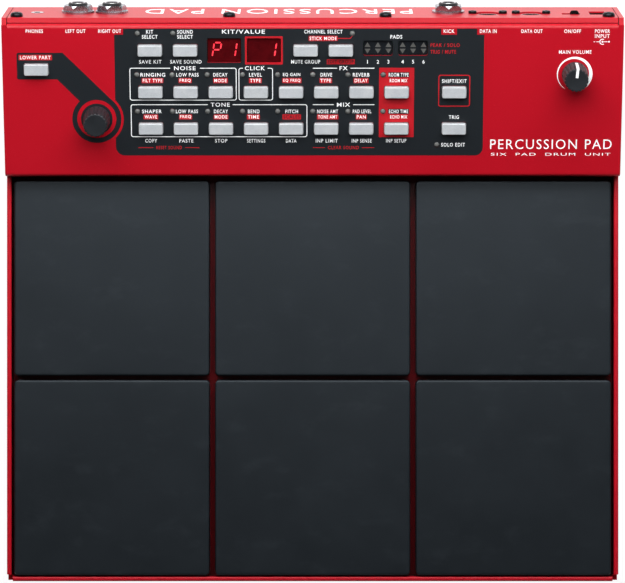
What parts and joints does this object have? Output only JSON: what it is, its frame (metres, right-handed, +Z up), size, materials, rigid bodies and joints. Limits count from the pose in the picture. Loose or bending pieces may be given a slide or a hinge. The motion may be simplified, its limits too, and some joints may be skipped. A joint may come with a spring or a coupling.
{
  "type": "electronic drum pad",
  "caption": "Table-top electronic percussion pad: square rubber pads in a shallow steel tray, a sloping control panel with push buttons, displays and knobs, and a rear connector wall.",
  "frame": {"origin": "on the table, under the centre of the whole object's bounding box", "axes": "+X to the player's right, +Y away from the player towards the connector wall, +Z up"},
  "size_m": [0.345, 0.3265, 0.068],
  "materials": {
    "powder_coat": "fine-grained satin red powder coat",
    "pad_rubber": "matt dark grey rubber with faint scuffs",
    "pad_steel": "zinc-plated sheet",
    "foam": "open-cell foam",
    "sensor_brass": "plain disc",
    "button_cap": "light grey moulded plastic",
    "knob": "black moulded plastic",
    "control_metal": "turned",
    "board": "green solder mask on glass fibre board",
    "switch_housing": "moulded",
    "led_lens": "smoked, unlit",
    "display_face": "dark red filter",
    "meter_face": "dark filter",
    "socket_plastic": "moulded",
    "socket_metal": "nickel plated",
    "nut_chrome": "bright nickel",
    "screw_black": "black oxide",
    "foot_rubber": "matt"
  },
  "bodies": {
    "chassis": {"base_tray": "powder_coat", "connector_board": "board", "control_board": "board", "cover_screws": "screw_black", "dc_socket": "socket_plastic", "din_screws": "screw_black", "din_sockets": "socket_plastic", "jack_nuts": "nut_chrome", "level_meters": "meter_face", "line_jacks": "socket_plastic", "pad_foam": "foam", "pad_sensors": "sensor_brass", "phones_jack": "socket_metal", "power_switch": "switch_housing", "rotary_bodies": "control_metal", "rubber_feet": "foot_rubber", "status_leds": "led_lens", "tact_switches": "switch_housing", "top_cover": "powder_coat", "value_displays": "display_face"},
    "pad_1": {"pad_1_skin": "pad_rubber", "pad_1_plate": "pad_steel"},
    "pad_2": {"pad_2_skin": "pad_rubber", "pad_2_plate": "pad_steel"},
    "pad_3": {"pad_3_skin": "pad_rubber", "pad_3_plate": "pad_steel"},
    "pad_4": {"pad_4_skin": "pad_rubber", "pad_4_plate": "pad_steel"},
    "pad_5": {"pad_5_skin": "pad_rubber", "pad_5_plate": "pad_steel"},
    "pad_6": {"pad_6_skin": "pad_rubber", "pad_6_plate": "pad_steel"},
    "button_channel_level": {"button_channel_level": "button_cap"},
    "button_click_level": {"button_click_level": "button_cap"},
    "button_delay_time": {"button_delay_time": "button_cap"},
    "button_distortion": {"button_distortion": "button_cap"},
    "button_edit_group": {"button_edit_group": "button_cap"},
    "button_equaliser": {"button_equaliser": "button_cap"},
    "button_kit_select": {"button_kit_select": "button_cap"},
    "button_lower_function": {"button_lower_function": "button_cap"},
    "button_mute_group": {"button_mute_group": "button_cap"},
    "button_noise_decay": {"button_noise_decay": "button_cap"},
    "button_noise_filter": {"button_noise_filter": "button_cap"},
    "button_noise_level": {"button_noise_level": "button_cap"},
    "button_noise_resonance": {"button_noise_resonance": "button_cap"},
    "button_reverb_level": {"button_reverb_level": "button_cap"},
    "button_reverb_type": {"button_reverb_type": "button_cap"},
    "button_shift": {"button_shift": "button_cap"},
    "button_sound_select": {"button_sound_select": "button_cap"},
    "button_tone_bend": {"button_tone_bend": "button_cap"},
    "button_tone_decay": {"button_tone_decay": "button_cap"},
    "button_tone_filter": {"button_tone_filter": "button_cap"},
    "button_tone_pitch": {"button_tone_pitch": "button_cap"},
    "button_tone_spectrum": {"button_tone_spectrum": "button_cap"},
    "button_trigger": {"button_trigger": "button_cap"},
    "encoder": {"encoder_knob": "knob", "encoder_shaft": "control_metal"},
    "volume": {"volume_knob": "knob", "volume_shaft": "control_metal"},
    "slider": {"power_slider": "socket_plastic"}
  },
  "joints": [
    {"name": "pad_1_strike", "type": "slide", "parent": "chassis", "child": "pad_1", "axis": [0, 0, -1], "range_m": [0, 0.001], "stiffness_N_per_m": 20000, "springref_m": -0.0005, "deforming": ["pad_foam"]},
    {"name": "pad_2_strike", "type": "slide", "parent": "chassis", "child": "pad_2", "axis": [0, 0, -1], "range_m": [0, 0.001], "stiffness_N_per_m": 20000, "springref_m": -0.0005, "deforming": ["pad_foam"]},
    {"name": "pad_3_strike", "type": "slide", "parent": "chassis", "child": "pad_3", "axis": [0, 0, -1], "range_m": [0, 0.001], "stiffness_N_per_m": 20000, "springref_m": -0.0005, "deforming": ["pad_foam"]},
    {"name": "pad_4_strike", "type": "slide", "parent": "chassis", "child": "pad_4", "axis": [0, 0, -1], "range_m": [0, 0.001], "stiffness_N_per_m": 20000, "springref_m": -0.0005, "deforming": ["pad_foam"]},
    {"name": "pad_5_strike", "type": "slide", "parent": "chassis", "child": "pad_5", "axis": [0, 0, -1], "range_m": [0, 0.001], "stiffness_N_per_m": 20000, "springref_m": -0.0005, "deforming": ["pad_foam"]},
    {"name": "pad_6_strike", "type": "slide", "parent": "chassis", "child": "pad_6", "axis": [0, 0, -1], "range_m": [0, 0.001], "stiffness_N_per_m": 20000, "springref_m": -0.0005, "deforming": ["pad_foam"]},
    {"name": "press_channel_level", "type": "slide", "parent": "chassis", "child": "button_channel_level", "axis": [0, 0.2874, -0.9578], "range_m": [0, 0.0005], "stiffness_N_per_m": 400, "springref_m": -0.001},
    {"name": "press_click_level", "type": "slide", "parent": "chassis", "child": "button_click_level", "axis": [0, 0.2874, -0.9578], "range_m": [0, 0.0005], "stiffness_N_per_m": 400, "springref_m": -0.001},
    {"name": "press_delay_time", "type": "slide", "parent": "chassis", "child": "button_delay_time", "axis": [0, 0.2874, -0.9578], "range_m": [0, 0.0005], "stiffness_N_per_m": 400, "springref_m": -0.001},
    {"name": "press_distortion", "type": "slide", "parent": "chassis", "child": "button_distortion", "axis": [0, 0.2874, -0.9578], "range_m": [0, 0.0005], "stiffness_N_per_m": 400, "springref_m": -0.001},
    {"name": "press_edit_group", "type": "slide", "parent": "chassis", "child": "button_edit_group", "axis": [0, 0.2874, -0.9578], "range_m": [0, 0.0005], "stiffness_N_per_m": 400, "springref_m": -0.001},
    {"name": "press_equaliser", "type": "slide", "parent": "chassis", "child": "button_equaliser", "axis": [0, 0.2874, -0.9578], "range_m": [0, 0.0005], "stiffness_N_per_m": 400, "springref_m": -0.001},
    {"name": "press_kit_select", "type": "slide", "parent": "chassis", "child": "button_kit_select", "axis": [0, 0.2874, -0.9578], "range_m": [0, 0.0005], "stiffness_N_per_m": 400, "springref_m": -0.001},
    {"name": "press_lower_function", "type": "slide", "parent": "chassis", "child": "button_lower_function", "axis": [0, 0.2874, -0.9578], "range_m": [0, 0.0005], "stiffness_N_per_m": 400, "springref_m": -0.001},
    {"name": "press_mute_group", "type": "slide", "parent": "chassis", "child": "button_mute_group", "axis": [0, 0.2874, -0.9578], "range_m": [0, 0.0005], "stiffness_N_per_m": 400, "springref_m": -0.001},
    {"name": "press_noise_decay", "type": "slide", "parent": "chassis", "child": "button_noise_decay", "axis": [0, 0.2874, -0.9578], "range_m": [0, 0.0005], "stiffness_N_per_m": 400, "springref_m": -0.001},
    {"name": "press_noise_filter", "type": "slide", "parent": "chassis", "child": "button_noise_filter", "axis": [0, 0.2874, -0.9578], "range_m": [0, 0.0005], "stiffness_N_per_m": 400, "springref_m": -0.001},
    {"name": "press_noise_level", "type": "slide", "parent": "chassis", "child": "button_noise_level", "axis": [0, 0.2874, -0.9578], "range_m": [0, 0.0005], "stiffness_N_per_m": 400, "springref_m": -0.001},
    {"name": "press_noise_resonance", "type": "slide", "parent": "chassis", "child": "button_noise_resonance", "axis": [0, 0.2874, -0.9578], "range_m": [0, 0.0005], "stiffness_N_per_m": 400, "springref_m": -0.001},
    {"name": "press_reverb_level", "type": "slide", "parent": "chassis", "child": "button_reverb_level", "axis": [0, 0.2874, -0.9578], "range_m": [0, 0.0005], "stiffness_N_per_m": 400, "springref_m": -0.001},
    {"name": "press_reverb_type", "type": "slide", "parent": "chassis", "child": "button_reverb_type", "axis": [0, 0.2874, -0.9578], "range_m": [0, 0.0005], "stiffness_N_per_m": 400, "springref_m": -0.001},
    {"name": "press_shift", "type": "slide", "parent": "chassis", "child": "button_shift", "axis": [0, 0.2874, -0.9578], "range_m": [0, 0.0005], "stiffness_N_per_m": 400, "springref_m": -0.001},
    {"name": "press_sound_select", "type": "slide", "parent": "chassis", "child": "button_sound_select", "axis": [0, 0.2874, -0.9578], "range_m": [0, 0.0005], "stiffness_N_per_m": 400, "springref_m": -0.001},
    {"name": "press_tone_bend", "type": "slide", "parent": "chassis", "child": "button_tone_bend", "axis": [0, 0.2874, -0.9578], "range_m": [0, 0.0005], "stiffness_N_per_m": 400, "springref_m": -0.001},
    {"name": "press_tone_decay", "type": "slide", "parent": "chassis", "child": "button_tone_decay", "axis": [0, 0.2874, -0.9578], "range_m": [0, 0.0005], "stiffness_N_per_m": 400, "springref_m": -0.001},
    {"name": "press_tone_filter", "type": "slide", "parent": "chassis", "child": "button_tone_filter", "axis": [0, 0.2874, -0.9578], "range_m": [0, 0.0005], "stiffness_N_per_m": 400, "springref_m": -0.001},
    {"name": "press_tone_pitch", "type": "slide", "parent": "chassis", "child": "button_tone_pitch", "axis": [0, 0.2874, -0.9578], "range_m": [0, 0.0005], "stiffness_N_per_m": 400, "springref_m": -0.001},
    {"name": "press_tone_spectrum", "type": "slide", "parent": "chassis", "child": "button_tone_spectrum", "axis": [0, 0.2874, -0.9578], "range_m": [0, 0.0005], "stiffness_N_per_m": 400, "springref_m": -0.001},
    {"name": "press_trigger", "type": "slide", "parent": "chassis", "child": "button_trigger", "axis": [0, 0.2874, -0.9578], "range_m": [0, 0.0005], "stiffness_N_per_m": 400, "springref_m": -0.001},
    {"name": "encoder_turn", "type": "hinge", "parent": "chassis", "child": "encoder", "pos_m": [-0.1204, 0.09645, 0.0442], "axis": [0, -0.2874, 0.9578], "continuous": true},
    {"name": "volume_turn", "type": "hinge", "parent": "chassis", "child": "volume", "pos_m": [0.1456, 0.12097, 0.05155], "axis": [0, -0.2874, 0.9578], "range_deg": [-150, 150]},
    {"name": "power_slide", "type": "slide", "parent": "chassis", "child": "slider", "axis": [-1, 0, 0], "range_m": [0, 0.004]}
  ]
}
